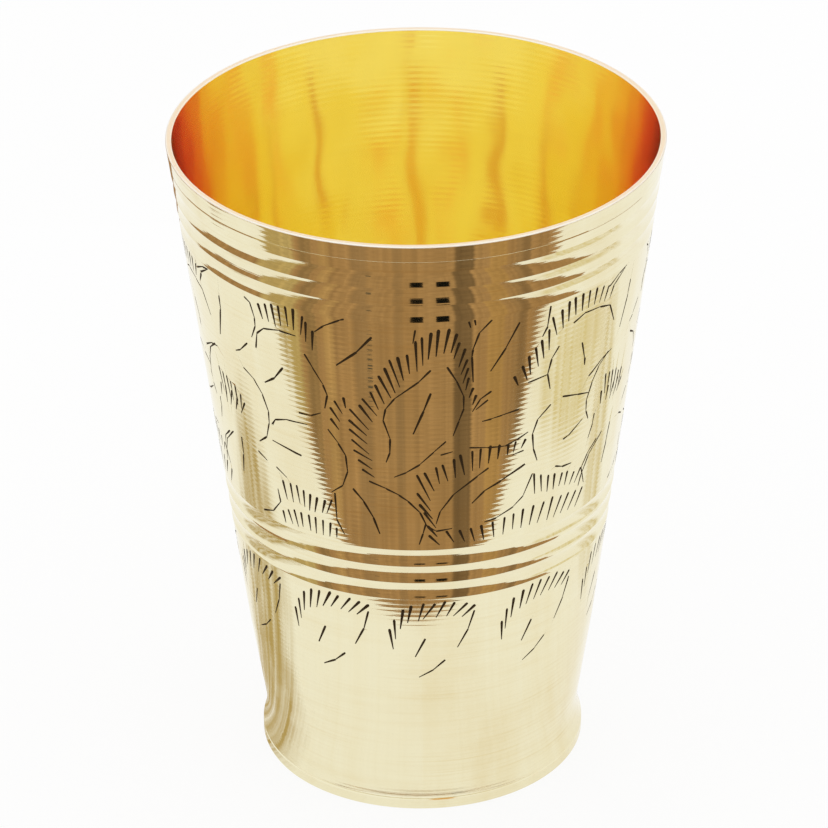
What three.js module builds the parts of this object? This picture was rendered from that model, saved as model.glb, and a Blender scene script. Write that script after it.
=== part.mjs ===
// A turned brass drinking tumbler on a low foot, in millimetres, +Z up.
// The origin is the middle of the face that the tumbler rests on.
// It is made of a tapered wall, a foot ring under it and a floor disc between them, with two
// fillets of brazing metal that seal the disc. Every piece is turned, so each is a revolved profile.

import * as THREE from 'three';

// Overall form
const HEIGHT = 128;
const MOUTH_RADIUS = 46;
const WALL_THICKNESS = 1.1;
const RIM_ROUND = 0.25;

// The wall tapers in a straight line from the mouth to the break, and a little faster below it
const BREAK_HEIGHT = 28;
const BREAK_RADIUS = 33.2;

// Waist and foot
const WAIST_HEIGHT = 7.2;
const WAIST_RADIUS = 30.2;
const FOOT_RADIUS = 31;
const FOOT_BAND_HEIGHT = 2.4;
const FOOT_GROOVE_WIDTH = 0.4;
const FOOT_GROOVE_DEPTH = 0.15;
const FOOT_EDGE_ROUND = 0.3;
const FOOT_REST_WIDTH = 1.9;
const SEAM_HEIGHT = 5.6;

// Floor disc, the ledge that carries it and the fillets that seal it
const DISC_THICKNESS = 1.5;
const DISC_CLEARANCE = 0.1;
const LEDGE_WIDTH = 1.6;
const FILLET_LEG = 1.2;
const FILLET_CLEARANCE = 0.1;

// Turned rings: each is a shallow cove, and the sharp crests between coves stay on the taper
const RINGS_IN_BAND = 3;
const UPPER_BAND_DROP = 5.5;
const UPPER_RING_PITCH = 3.56;
const UPPER_RING_DEPTH = 0.16;
const MIDDLE_BAND_HEIGHT = 61;
const MIDDLE_RING_PITCH = 3.8;
const MIDDLE_RING_DEPTH = 0.34;

// Fine line scribed between the rim and the upper band
const SCRIBED_LINE_DROP = 3.4;
const SCRIBED_LINE_WIDTH = 0.3;
const SCRIBED_LINE_DEPTH = 0.06;

// Facets
const FACETS_AROUND = 80;
const STEPS_PER_COVE = 4;
const STEPS_PER_ROUND = 2;
const STEPS_PER_WAIST = 4;

const brass = { color: 0xe0c68a, roughness: 0.16, metalness: 1 };
const brazingMetal = { color: 0xd2b169, roughness: 0.34, metalness: 1 };

// The waist is a cove that widens downward until it meets the foot band
const coveRise = WAIST_HEIGHT - FOOT_BAND_HEIGHT;
const coveCurve = (coveRise * coveRise) / (2 * (FOOT_RADIUS - WAIST_RADIUS));

// The lower taper leaves the waist cove as a tangent line that ends at the break
const taperLength = BREAK_HEIGHT - WAIST_HEIGHT;
const tangentRise = taperLength
  - Math.sqrt(taperLength * taperLength - 2 * coveCurve * (BREAK_RADIUS - WAIST_RADIUS));
const taperFoot = WAIST_HEIGHT + tangentRise;

function waistRadius(height) {
  const rise = height - WAIST_HEIGHT;
  return WAIST_RADIUS + (rise * rise) / (2 * coveCurve);
}

// Plain outside radius of the tumbler at a height, without rings, lines and rounded edges
function outsideRadius(height) {
  if (height <= taperFoot) return waistRadius(height);
  if (height <= BREAK_HEIGHT) {
    const share = (height - taperFoot) / (BREAK_HEIGHT - taperFoot);
    return THREE.MathUtils.lerp(waistRadius(taperFoot), BREAK_RADIUS, share);
  }
  const share = (height - BREAK_HEIGHT) / (HEIGHT - BREAK_HEIGHT);
  return THREE.MathUtils.lerp(BREAK_RADIUS, MOUTH_RADIUS, share);
}

const point = (radius, height) => new THREE.Vector2(radius, height);

// One cove of a band, from its lower crest up to just below its upper crest
function cove(lowerHeight, pitch, depth) {
  const points = [];
  for (let step = 0; step < STEPS_PER_COVE; step += 1) {
    const share = step / STEPS_PER_COVE;
    const height = lowerHeight + pitch * share;
    const cut = 4 * depth * share * (1 - share);
    points.push(point(outsideRadius(height) - cut, height));
  }
  return points;
}

function ringBand(topHeight, pitch, depth) {
  const points = [];
  for (let ring = RINGS_IN_BAND; ring > 0; ring -= 1) {
    points.push(...cove(topHeight - ring * pitch, pitch, depth));
  }
  points.push(point(outsideRadius(topHeight), topHeight));
  return points;
}

// A line turned into the outside: two crests with a flat floor half as wide between them
function turnedLine(middleHeight, width, depth) {
  const low = middleHeight - width / 2;
  const high = middleHeight + width / 2;
  return [
    point(outsideRadius(low), low),
    point(outsideRadius(middleHeight) - depth, middleHeight - width / 4),
    point(outsideRadius(middleHeight) - depth, middleHeight + width / 4),
    point(outsideRadius(high), high),
  ];
}

// A quarter round about a centre, from one angle to another in degrees
function roundedEdge(centreRadius, centreHeight, round, fromDegrees, toDegrees) {
  const points = [];
  for (let step = 0; step <= STEPS_PER_ROUND; step += 1) {
    const angle = THREE.MathUtils.degToRad(
      THREE.MathUtils.lerp(fromDegrees, toDegrees, step / STEPS_PER_ROUND));
    points.push(point(centreRadius + round * Math.cos(angle), centreHeight + round * Math.sin(angle)));
  }
  return points;
}

// A stretch of the waist cove, both ends included
function waistCove(fromHeight, toHeight) {
  const points = [];
  for (let step = 0; step <= STEPS_PER_WAIST; step += 1) {
    const height = THREE.MathUtils.lerp(fromHeight, toHeight, step / STEPS_PER_WAIST);
    points.push(point(waistRadius(height), height));
  }
  return points;
}

const boreRadius = WAIST_RADIUS - WALL_THICKNESS;
const discRadius = boreRadius - DISC_CLEARANCE;
const ledgeRadius = discRadius - LEDGE_WIDTH;
const discTop = SEAM_HEIGHT + DISC_THICKNESS;

// The wall, from the foot seam to the rim and back down the inside to the bore that holds the disc
function wallProfile() {
  const outerRim = MOUTH_RADIUS - RIM_ROUND;
  const innerRim = MOUTH_RADIUS - WALL_THICKNESS + RIM_ROUND;
  const rimCentre = HEIGHT - RIM_ROUND;
  return [
    point(boreRadius, SEAM_HEIGHT),
    ...waistCove(SEAM_HEIGHT, taperFoot),
    point(BREAK_RADIUS, BREAK_HEIGHT),
    ...ringBand(MIDDLE_BAND_HEIGHT, MIDDLE_RING_PITCH, MIDDLE_RING_DEPTH),
    ...ringBand(HEIGHT - UPPER_BAND_DROP, UPPER_RING_PITCH, UPPER_RING_DEPTH),
    ...turnedLine(HEIGHT - SCRIBED_LINE_DROP, SCRIBED_LINE_WIDTH, SCRIBED_LINE_DEPTH),
    ...roundedEdge(outerRim, rimCentre, RIM_ROUND, 0, 90),
    ...roundedEdge(innerRim, rimCentre, RIM_ROUND, 90, 180),
    point(BREAK_RADIUS - WALL_THICKNESS, BREAK_HEIGHT),
    point(boreRadius, taperFoot),
  ];
}

// The foot ring: resting face, rounded edge, band, turned groove, flare, and the ledge on top
function footProfile() {
  const grooveFloor = FOOT_RADIUS - FOOT_GROOVE_DEPTH;
  const grooveLow = FOOT_BAND_HEIGHT - FOOT_GROOVE_WIDTH;
  return [
    point(FOOT_RADIUS - FOOT_EDGE_ROUND - FOOT_REST_WIDTH, 0),
    ...roundedEdge(FOOT_RADIUS - FOOT_EDGE_ROUND, FOOT_EDGE_ROUND, FOOT_EDGE_ROUND, -90, 0),
    point(FOOT_RADIUS, grooveLow),
    point(grooveFloor, grooveLow + FOOT_GROOVE_WIDTH / 2),
    ...waistCove(FOOT_BAND_HEIGHT, SEAM_HEIGHT),
    point(ledgeRadius, SEAM_HEIGHT),
  ];
}

// The disc lies on the ledge, inside the bore of the wall
function discProfile() {
  return [
    point(0, SEAM_HEIGHT),
    point(discRadius, SEAM_HEIGHT),
    point(discRadius, discTop),
    point(0, discTop),
  ];
}

// Brazing metal in the corner of the disc and the wall, hollowed as it flows
function bowlFilletProfile() {
  const outside = boreRadius - FILLET_CLEARANCE;
  return [
    point(outside - FILLET_LEG, discTop),
    point(outside, discTop),
    point(outside, discTop + FILLET_LEG),
    ...filletHollow(outside - FILLET_LEG, discTop + FILLET_LEG, 0, -90),
  ];
}

// Brazing metal in the corner under the disc, against the inside of the foot ring
function underFilletProfile() {
  const outside = ledgeRadius - FILLET_CLEARANCE;
  return [
    point(outside, SEAM_HEIGHT),
    point(outside - FILLET_LEG, SEAM_HEIGHT),
    ...filletHollow(outside - FILLET_LEG, SEAM_HEIGHT - FILLET_LEG, 90, 0),
    point(outside, SEAM_HEIGHT - FILLET_LEG),
  ];
}

// The middle of a hollow fillet face, a little short of both of its legs
function filletHollow(centreRadius, centreHeight, fromDegrees, toDegrees) {
  return roundedEdge(centreRadius, centreHeight, FILLET_LEG, fromDegrees, toDegrees).slice(1, -1);
}

// Turns a profile about the Z axis; a profile that is off the axis closes on itself
function turned(name, profile, finish) {
  const points = profile.slice();
  if (points[0].x > 0) points.push(points[0].clone());
  const geometry = new THREE.LatheGeometry(points, FACETS_AROUND);
  geometry.rotateX(Math.PI / 2);
  const mesh = new THREE.Mesh(geometry, new THREE.MeshStandardMaterial(finish));
  mesh.name = name;
  return mesh;
}

const group = new THREE.Group();
group.add(
  turned('wall', wallProfile(), brass),
  turned('foot_ring', footProfile(), brass),
  turned('floor_disc', discProfile(), brass),
  turned('bowl_fillet', bowlFilletProfile(), brazingMetal),
  turned('under_fillet', underFilletProfile(), brazingMetal),
);

export default group;
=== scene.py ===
import math
import random

import bpy
import numpy as np
from bpy.props import FloatProperty, FloatVectorProperty, IntProperty, PointerProperty
from mathutils import Matrix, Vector
from mathutils.geometry import delaunay_2d_cdt


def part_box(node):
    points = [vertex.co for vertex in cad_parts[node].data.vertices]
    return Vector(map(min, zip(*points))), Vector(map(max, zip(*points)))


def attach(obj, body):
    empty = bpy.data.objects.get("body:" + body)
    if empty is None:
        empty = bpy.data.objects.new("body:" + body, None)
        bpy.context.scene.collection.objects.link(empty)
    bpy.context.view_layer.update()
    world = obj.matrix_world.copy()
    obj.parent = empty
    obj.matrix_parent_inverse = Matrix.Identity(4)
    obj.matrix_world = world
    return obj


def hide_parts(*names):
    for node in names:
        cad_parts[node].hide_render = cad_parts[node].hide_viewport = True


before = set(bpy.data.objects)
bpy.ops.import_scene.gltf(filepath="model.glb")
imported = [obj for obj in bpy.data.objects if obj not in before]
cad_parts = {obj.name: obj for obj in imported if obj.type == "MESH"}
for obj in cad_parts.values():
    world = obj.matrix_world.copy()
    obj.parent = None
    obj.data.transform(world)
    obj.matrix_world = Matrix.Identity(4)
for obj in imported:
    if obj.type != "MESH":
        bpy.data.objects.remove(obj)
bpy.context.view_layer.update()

bl_info = {
    "name": "Engraved brass tumbler",
    "version": (1, 0, 0),
    "blender": (4, 5, 0),
    "location": "3D View > Sidebar > Tumbler",
    "description": "Turns and engraves a brass tumbler and sets up a pale studio for it",
    "category": "Object",
}

MM = 0.001
wall_low, wall_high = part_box("wall")
foot_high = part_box("foot_ring")[1]
disc_low, disc_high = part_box("floor_disc")

# Sizes of the scribed line, the foot and the bore, in metres
SCRIBED_LINE_DROP = 3.4 * MM
SCRIBED_LINE_WIDTH = 0.3 * MM
SCRIBED_LINE_DEPTH = 0.03 * MM
FOOT_EDGE_ROUND = 0.3 * MM
FOOT_REST_WIDTH = 1.9 * MM
FOOT_GROOVE_WIDTH = 0.4 * MM
FOOT_GROOVE_DEPTH = 0.15 * MM
LEDGE_WIDTH = 1.7 * MM
BORE_TOP = 9.41 * MM

# Steps along each straight run of the inside and along a fillet's arc
INSIDE_STEPS = 12
FILLET_STEPS = 8

# Corners on one step of this grid are one vertex, and a smaller radius than this is the axis itself
VERTEX_GRID = 0.0001 * MM
ON_AXIS = 1e-9

# Where the wall's outside, lip and inside lie up its unwrapped map, and the margin of other maps
OUTSIDE_MAP = (0.01, 0.63)
LIP_MAP = (0.64, 0.67)
INSIDE_MAP = (0.68, 0.99)
MAP_MARGIN = 0.02

# Places of the wall's finishes in its list of materials
OUTSIDE, CUT, INSIDE, LIP = range(4)


# Sizes and colours that a user may change

def length(name, description, default):
    """A length in metres."""
    return FloatProperty(name=name, description=description, default=default, unit="LENGTH")


def paint(name, description, default):
    """A colour."""
    return FloatVectorProperty(
        name=name, description=description, default=default, subtype="COLOR", min=0, max=1)


class TumblerSizes(bpy.types.PropertyGroup):
    """Sizes of the turned pieces, in metres."""

    height: length("Height", "From the resting face to the lip", wall_high.z)
    mouth_radius: length("Mouth radius", "Outside radius at the lip", wall_high.x)
    wall_thickness: length("Wall", "Thickness of the turned wall", 1.1 * MM)
    break_height: length("Break height", "Where the taper becomes a little steeper", 28 * MM)
    break_radius: length("Break radius", "Outside radius at the break", 33.2 * MM)
    waist_height: length("Waist height", "Narrowest place above the foot", 7.2 * MM)
    waist_radius: length("Waist radius", "Outside radius at the waist", 30.2 * MM)
    foot_radius: length("Foot radius", "Outside radius of the foot band", foot_high.x)
    foot_band: length("Foot band", "Height of the band at the foot", 2.4 * MM)
    rim_round: length("Rim round", "Radius of the two edges of the lip", 0.25 * MM)
    facets: IntProperty(
        name="Facets", description="Facets round the tumbler", default=240, min=48, max=480)


class RingSizes(bpy.types.PropertyGroup):
    """Sizes of the turned ring bands, in metres."""

    rings: IntProperty(
        name="Rings", description="Rings in each band", default=3, min=1, max=6)
    upper_drop: length("Upper drop", "From the lip to the top of the upper band", 5.5 * MM)
    upper_pitch: length("Upper pitch", "Height of each ring of the upper band", 3.56 * MM)
    upper_depth: length(
        "Upper depth", "How far each ring of the upper band is hollowed", 0.16 * MM)
    middle_top: length("Middle top", "Height of the top of the middle band", 61 * MM)
    middle_pitch: length("Middle pitch", "Height of each ring of the middle band", 3.8 * MM)
    middle_depth: length(
        "Middle depth", "How far each ring of the middle band is hollowed", 0.34 * MM)


class EngravingSizes(bpy.types.PropertyGroup):
    """Sizes of the cuts, in metres."""

    stroke_width: length("Stroke width", "Width of a fringe stroke at its head", 0.6 * MM)
    line_width: length("Line width", "Width of an outline or a vein", 0.4 * MM)
    unevenness: length("Unevenness", "How far a stroke strays from its place", 0.16 * MM)
    steepness: FloatProperty(
        name="Steepness", description="Depth of a cut for each unit of half its width",
        default=0.75, min=0.1, max=2)


class BrassColours(bpy.types.PropertyGroup):
    """Colours of the metal."""

    outside: paint("Outside", "Polished brass outside", (0.875, 0.825, 0.595))
    inside: paint("Inside", "Polished brass inside", (0.985, 0.9, 0.47))
    inside_edge: paint(
        "Inside edge", "How the inside is tinted where it is seen nearly edge on", (0.955, 0.56, 0.5))
    # Near white: partly bare worn metal, partly a painted highlight along the flat lip
    lip: paint("Lip", "Bare worn metal on the lip", (0.98, 0.95, 0.86))
    tarnish: paint("Tarnish", "Brass that has dulled", (0.74, 0.60, 0.30))
    cut: paint("Cut", "Darkened metal in the engraved cuts", (0.05, 0.03, 0.012))
    braze: paint("Braze", "Brazing metal", (0.78, 0.62, 0.36))


class StageSizes(bpy.types.PropertyGroup):
    """Camera and table."""

    distance: length(
        "Distance", "From the camera to the middle of the tumbler", 982.5 * MM)
    elevation: FloatProperty(
        name="Elevation", description="How far the camera looks down",
        default=math.radians(29.339), subtype="ANGLE")
    roll: FloatProperty(
        name="Roll", description="How far the camera leans",
        default=math.radians(-0.646), subtype="ANGLE")
    lens: FloatProperty(
        name="Lens", description="Focal length in millimetres on a 36 mm sensor",
        default=225.3, min=10, max=400)
    table_colour: paint(
        "Table", "Brown table round the white sheet, seen only in the metal", (0.40, 0.235, 0.105))


# The form of the outside

def outside_radius(height):
    """Plain outside radius at a height, or at an array of heights."""
    sizes = bpy.context.scene.tumbler_sizes
    height = np.asarray(height, float)
    rise = sizes.waist_height - sizes.foot_band
    curve = rise * rise / (2 * (sizes.foot_radius - sizes.waist_radius))
    stretch = sizes.break_height - sizes.waist_height
    widening = sizes.break_radius - sizes.waist_radius
    tangent = stretch - math.sqrt(stretch * stretch - 2 * curve * widening)
    taper_foot = sizes.waist_height + tangent
    foot_end = sizes.waist_radius + tangent * tangent / (2 * curve)
    cove = sizes.waist_radius + (height - sizes.waist_height) ** 2 / (2 * curve)
    low_slope = (sizes.break_radius - foot_end) / (sizes.break_height - taper_foot)
    low = foot_end + (height - taper_foot) * low_slope
    high = sizes.break_radius + (height - sizes.break_height) * taper_slope()
    return np.where(height <= taper_foot, cove, np.where(height <= sizes.break_height, low, high))


def taper_slope():
    """How fast the upper taper widens with height."""
    sizes = bpy.context.scene.tumbler_sizes
    widening = sizes.mouth_radius - sizes.break_radius
    return widening / (sizes.height - sizes.break_height)


def band_ends():
    """Lower and upper end of the middle band, then of the upper band."""
    sizes = bpy.context.scene.tumbler_sizes
    rings = bpy.context.scene.tumbler_rings
    upper_top = sizes.height - rings.upper_drop
    return (
        rings.middle_top - rings.rings * rings.middle_pitch, rings.middle_top,
        upper_top - rings.rings * rings.upper_pitch, upper_top)


def outside_map(height):
    """How far up the wall's unwrapped map a height on its outside lies."""
    low, high = OUTSIDE_MAP
    share = (height - wall_low.z) / (bpy.context.scene.tumbler_sizes.height - wall_low.z)
    return low + (high - low) * share


def plain(low, high, steps):
    """A stretch of the plain outside, as (radius, height) rows."""
    heights = np.linspace(low, high, steps + 1)
    return np.stack([outside_radius(heights), heights], 1)


def ring(low, pitch, depth, steps=12):
    """One shallow hollow between two sharp crests."""
    share = np.linspace(0, 1, steps + 1)
    rows = plain(low, low + pitch, steps)
    rows[:, 0] -= 4 * depth * share * (1 - share)
    return rows


def rounded(centre_radius, centre_height, radius, start, stop, steps=6):
    """Part of a circle, from one angle to another in degrees."""
    turn = np.radians(np.linspace(start, stop, steps + 1))
    return np.stack([
        centre_radius + radius * np.cos(turn),
        centre_height + radius * np.sin(turn),
    ], 1)


def straight(*rows):
    """Straight runs through the given (radius, height) rows, each run a span of its own."""
    return [np.array(pair, float) for pair in zip(rows[:-1], rows[1:])]


def placed(name, data):
    """Makes an object of its data and puts it in the scene."""
    made = bpy.data.objects.new(name, data)
    bpy.context.scene.collection.objects.link(made)
    return made


# Meshes made of corners, each with its own normal and place on the unwrapped map

class Surface:
    """Collects faces as corners and turns them into one mesh."""

    def __init__(self):
        self.places = []
        self.normals = []
        self.maps = []
        self.sizes = []
        self.finishes = []

    def add(self, places, normals, maps, finish):
        """Adds faces: arrays of shape (faces, corners, 3), (faces, corners, 3) and (faces, corners, 2)."""
        count, corners = places.shape[:2]
        self.places.append(places.reshape(-1, 3))
        self.normals.append(normals.reshape(-1, 3))
        self.maps.append(maps.reshape(-1, 2))
        self.sizes.append(np.full(count, corners))
        self.finishes.append(np.broadcast_to(finish, count))

    def build(self, name, materials):
        """Joins corners that meet and makes the object."""
        places = np.concatenate(self.places)
        sizes = np.concatenate(self.sizes)
        grid = np.round(places / VERTEX_GRID).astype(np.int64)
        _, first, corner = np.unique(grid, axis=0, return_index=True, return_inverse=True)
        mesh = bpy.data.meshes.new(name)
        mesh.vertices.add(len(first))
        mesh.vertices.foreach_set("co", places[first].ravel())
        mesh.loops.add(len(places))
        mesh.loops.foreach_set("vertex_index", corner.ravel())
        mesh.polygons.add(len(sizes))
        mesh.polygons.foreach_set("loop_start", np.cumsum(sizes) - sizes)
        for material in materials:
            mesh.materials.append(material)
        mesh.polygons.foreach_set("material_index", np.concatenate(self.finishes))
        layer = mesh.uv_layers.new(name="OFBake")
        layer.uv.foreach_set("vector", np.concatenate(self.maps).ravel())
        mesh.update(calc_edges=True)
        mesh.validate()
        mesh.shade_smooth()
        mesh.normals_split_custom_set(np.concatenate(self.normals))
        return placed(name, mesh)


def around(radius, height, angle):
    """Places on a circle; angle 0 faces the front, -Y, and +90 degrees faces +X."""
    return np.stack([
        radius * np.sin(angle),
        -radius * np.cos(angle),
        np.broadcast_to(height, np.shape(angle)),
    ], -1)


def profile_normals(rows):
    """Outward normals of a smooth profile run, which is followed with its outside on the right."""
    along = np.gradient(rows, axis=0)
    reach = np.hypot(along[:, 0], along[:, 1])
    return np.stack([along[:, 1], -along[:, 0]], 1) / reach[:, None]


def add_turned(surface, rows, map_rows, finish=0):
    """Turns one smooth run of a profile about the axis."""
    facets = bpy.context.scene.tumbler_sizes.facets
    angles = np.linspace(-math.pi, math.pi, facets + 1)
    normals = profile_normals(rows)
    for low in range(len(rows) - 1):
        high = low + 1
        corners = ((low, 0), (low, 1), (high, 1), (high, 0))
        if rows[low, 0] < ON_AXIS:
            corners = ((low, 0), (high, 1), (high, 0))
        elif rows[high, 0] < ON_AXIS:
            corners = ((low, 0), (low, 1), (high, 0))
        places, facing, maps = [], [], []
        for row, side in corners:
            angle = angles[side:facets + side]
            places.append(around(rows[row, 0], rows[row, 1], angle))
            facing.append(around(normals[row, 0], normals[row, 1], angle))
            across = angle / (2 * math.pi) + 0.5
            maps.append(np.stack([across, np.full(facets, map_rows[row])], -1))
        surface.add(np.stack(places, 1), np.stack(facing, 1), np.stack(maps, 1), finish)


def add_profile(surface, spans, map_low, map_high, finish=0):
    """Turns a whole profile, given as smooth spans that meet at sharp edges."""
    lengths = [np.hypot(*np.diff(span, axis=0).T) for span in spans]
    total = sum(run.sum() for run in lengths)
    done = 0.0
    for span, run in zip(spans, lengths):
        share = (done + np.concatenate([[0], np.cumsum(run)])) / total
        add_turned(surface, span, map_low + (map_high - map_low) * share, finish)
        done += run.sum()


# The engraved leaves, as angles in degrees from the front and heights in millimetres.
# A fringe is a head line, a tail line and the number of strokes that run from one to the other.

UPPER_FRINGES = (
    (((-41.2, 110.3), (-36.5, 111.4), (-30, 111.5), (-25.6, 108)),
     ((-40.2, 107), (-36, 106.8), (-30.5, 106.9), (-26.4, 103.8)), 9),
    (((-1, 107.6), (3.1, 109.8), (8.1, 109.7), (11.6, 104.5), (12.4, 99), (14.6, 95.2)),
     ((-0.3, 101), (3, 104), (7.3, 105.1), (10, 100.8), (11.4, 96.5), (13.3, 93)), 13),
    (((-2.6, 104.8), (-7.4, 103.2), (-12.2, 96.1), (-17.4, 91.6), (-18, 86), (-15.1, 78.9)),
     ((-2, 100.3), (-5.6, 96.8), (-10.1, 92), (-13, 87), (-13, 82), (-11.9, 77.4)), 16),
    (((-19.4, 94.3), (-21.6, 93.5), (-23, 91.6), (-23.3, 89.1)),
     ((-18.5, 92), (-19.9, 90.2), (-20.8, 88.5), (-21.2, 86.8)), 4),
    (((24.2, 97.7), (28, 101.4), (32.9, 105.9)),
     ((25.6, 95.5), (29.2, 97.2), (33.4, 101.5)), 6),
    (((34, 108.5), (40, 111), (47.9, 110.9), (54.6, 109.1)),
     ((35.4, 104.2), (40.5, 107), (47.1, 107.5), (53.4, 106.6)), 10),
    (((-1, 78.2), (3.2, 79.3), (8, 81.2), (15.2, 83), (22, 83), (28.7, 83)),
     ((2.6, 72.2), (5, 75.8), (9, 77), (15, 78.4), (21.2, 80), (27.7, 81)), 13),
    (((-1, 74.3), (0, 71), (1.8, 67.7), (2.4, 64.3)),
     ((2.9, 69.8), (3.6, 67.3), (4.4, 65.3), (5.1, 62.2)), 5),
    (((-40.2, 72), (-35.9, 71.5), (-29.8, 70.4), (-24.8, 70.6)),
     ((-39.3, 67.5), (-36, 67.6), (-31, 66.8), (-26.7, 67.1)), 8),
    (((-42.2, 64.7), (-35.6, 65.8), (-29, 65.6), (-23.6, 64.3)),
     ((-41.2, 62), (-35.7, 62), (-30, 62), (-24.3, 61.9)), 9),
    (((32.2, 74.6), (39.3, 72.7), (49.9, 70.8)),
     ((32.9, 69.8), (39.2, 69.2), (48.2, 68.4)), 8),
    (((7.5, 65.1), (16.1, 65.5), (28.9, 66.9), (40.8, 67.2), (52.5, 65.9)),
     ((9.5, 62.5), (17.4, 62), (28.4, 63), (38.6, 62.7), (49.5, 62.4)), 15),
    (((-64, 86.1), (-58.6, 86.2), (-52.1, 85.2)),
     ((-64.2, 83), (-58.8, 82.6), (-54.3, 82.2)), 5),
    (((56.5, 89.4), (61.5, 88.6), (66.5, 87)),
     ((57.3, 84.8), (61.8, 84.2), (66, 83.4)), 6),
)

UPPER_LINES = (
    ((2.9, 101.4), (0, 98.9), (-6.1, 95.1), (-8.4, 92.7), (-9.1, 90.2), (-7.5, 86.1), (-7.7, 83),
     (-8.8, 80.8)),
    ((6.9, 101.9), (9.3, 98.6), (11.1, 95.2), (11.2, 92.4), (10, 89.7), (8.6, 86.6)),
    ((6.8, 85.5), (3.6, 83.2), (0, 80.5), (-3.6, 78.7), (-6.8, 77.6)),
    ((-0.7, 110.2), (-1.3, 107.3)),
    ((-17.6, 111.6), (-18.8, 111.2), (-22.9, 109.4), (-25.4, 107.7)),
    ((-43.9, 99.9), (-42.9, 103.4), (-40.4, 105.1), (-35.4, 105.9), (-30.7, 105.8)),
    ((-28.7, 102.3), (-26.8, 99.7), (-24.3, 96.3), (-23.4, 94.1), (-24.4, 91.1)),
    ((-32.3, 88.7), (-28.6, 88.8), (-25.7, 89.9)),
    ((-41.8, 83.7), (-40.4, 85.2), (-36.4, 86.2), (-30, 86.5)),
    ((-24, 86.6), (-21.4, 83.8), (-19.6, 81.3), (-19.4, 77.7), (-21.1, 74.4), (-24.6, 72.4)),
    ((-50.1, 93.9), (-46.4, 92.4), (-43.9, 89.7), (-42.5, 86.3), (-42.9, 83.6), (-44.6, 80.2),
     (-47.9, 78.3)),
    ((-49.1, 75.9), (-45.7, 74.7)),
    ((-42.4, 74.2), (-38.9, 72.7)),
    ((-23.6, 72.3), (-23.7, 66.3), (-21.7, 63.2)),
    ((-13.6, 76.3), (-9, 74.9), (-5.7, 73.6), (-3.2, 72.2), (0, 69.6), (1.7, 66.7), (4.3, 65.3),
     (8.8, 65.7)),
    ((1.5, 67), (0.7, 64.8), (-0.4, 62.3)),
    ((-67.3, 109.5), (-63.2, 111), (-60, 111.6)),
    ((-45.7, 110.5), (-43.9, 109.7), (-43, 106.6), (-43.2, 104.7), (-45, 101.9)),
    ((-47.1, 100), (-50.4, 97.6), (-52.5, 96.8)),
    ((-71.4, 91.6), (-66, 93.8), (-62, 94.5)),
    ((-61.1, 76.2), (-66.8, 72.7), (-69.3, 69.1), (-70, 66.9)),
    ((-50.7, 62.2), (-46.1, 63.3), (-42.5, 66.3), (-42.9, 69.1)),
    ((17.5, 111.1), (14.5, 108.6), (13.1, 105.2), (12.9, 103.6), (13.4, 98)),
    ((11.9, 111.4), (12.4, 110)),
    ((13.3, 111.6), (13.6, 110.4)),
    ((18.2, 95.5), (15.4, 94.1), (13.4, 91.5)),
    ((17.4, 93.7), (14.3, 91.9)),
    ((26.1, 90.2), (21.4, 89.7), (18.6, 89.3), (16.1, 89.1)),
    ((32.9, 111.1), (32.5, 106.8), (31.2, 104.9)),
    ((36.6, 101.6), (34.6, 99.2), (33.8, 96.1), (35, 92.6)),
    ((28.2, 95.6), (33.8, 96.1)),
    ((40.6, 105.5), (44.3, 106.6), (50, 106.1), (54.1, 105.1), (57.1, 100.8)),
    ((54.6, 109.1), (59.3, 111.3)),
    ((39.6, 89.8), (45, 88.7), (49.3, 87.8)),
    ((56.4, 94.5), (52.5, 92.4), (50.4, 89.7), (48.9, 86.1), (49.4, 83.6), (50.7, 81.6)),
    ((35.7, 89.1), (31.9, 86.6), (30.7, 83.6), (31.4, 80.2), (32.9, 77.3)),
    ((41.3, 79.9), (43.2, 80.2), (48.2, 82.4)),
    ((53.4, 81.9), (53.2, 79.7), (51.8, 76.9)),
    ((39.5, 74.4), (42.1, 73.6), (45.7, 73.4)),
    ((56.4, 75.5), (52.5, 73.3), (50.4, 70.8), (52.5, 66.9)),
    ((5.4, 82.5), (8.6, 83.1)),
    ((13, 83.6), (17.9, 83), (22.8, 82.6), (26, 83.4), (29.3, 84.5)),
    ((28.4, 80.6), (24.9, 80.2)),
    ((18.4, 78.4), (15.4, 76.9), (8.9, 73.3), (5.4, 69.7), (4.3, 66.9)),
    ((31.7, 74.6), (29.3, 70.2), (26.4, 68.3), (21.4, 66.6), (17.9, 66.2)),
)

UPPER_VEINS = (
    ((2.9, 96.3), (1.1, 92.4), (-1.6, 87.3)),
    ((-11.1, 108.3), (-15, 104.7), (-20.4, 101.2)),
    ((-35.7, 97.7), (-38.9, 94.7), (-42.5, 92.8)),
    ((-32.9, 79), (-42.5, 80.1)),
    ((-18.2, 74.1), (-15.4, 71.5), (-12.9, 68), (-11.3, 64.4)),
    ((-56.4, 107.2), (-56.8, 104.1), (-59.1, 98)),
    ((-56.4, 76.5), (-57, 72.4), (-58.4, 68.3)),
    ((24.6, 109.4), (21.4, 104.4), (17.7, 99.9)),
    ((44.4, 100.1), (46.1, 96.3), (46.3, 94.7)),
    ((29.1, 77.4), (22.1, 74.9), (17.5, 73.3), (14.1, 70.9)),
)

UPPER_REPEATS = (-120, 0, 120)

LOWER_FRINGES = (
    (((0, 42.1), (4.2, 47), (12, 48.7), (20, 48.6), (26.6, 47.5)),
     ((0.7, 37.7), (3.6, 42.6), (9.5, 44.6), (16, 45.3), (22.7, 45)), 10),
)
LOWER_LINES = (
    ((26.2, 46), (24.4, 41.8), (21.2, 37.8)),
    ((17.4, 35.1), (13.7, 32.9), (9.1, 31.2)),
)
LOWER_VEINS = (((11.2, 40.3), (8, 36)),)
LOWER_LEAVES = (-42.3, -10.1, 25, 60.4, 92.6, 124.8, 157, 189.2, 221.4, 253.6, 285.8)

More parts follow.
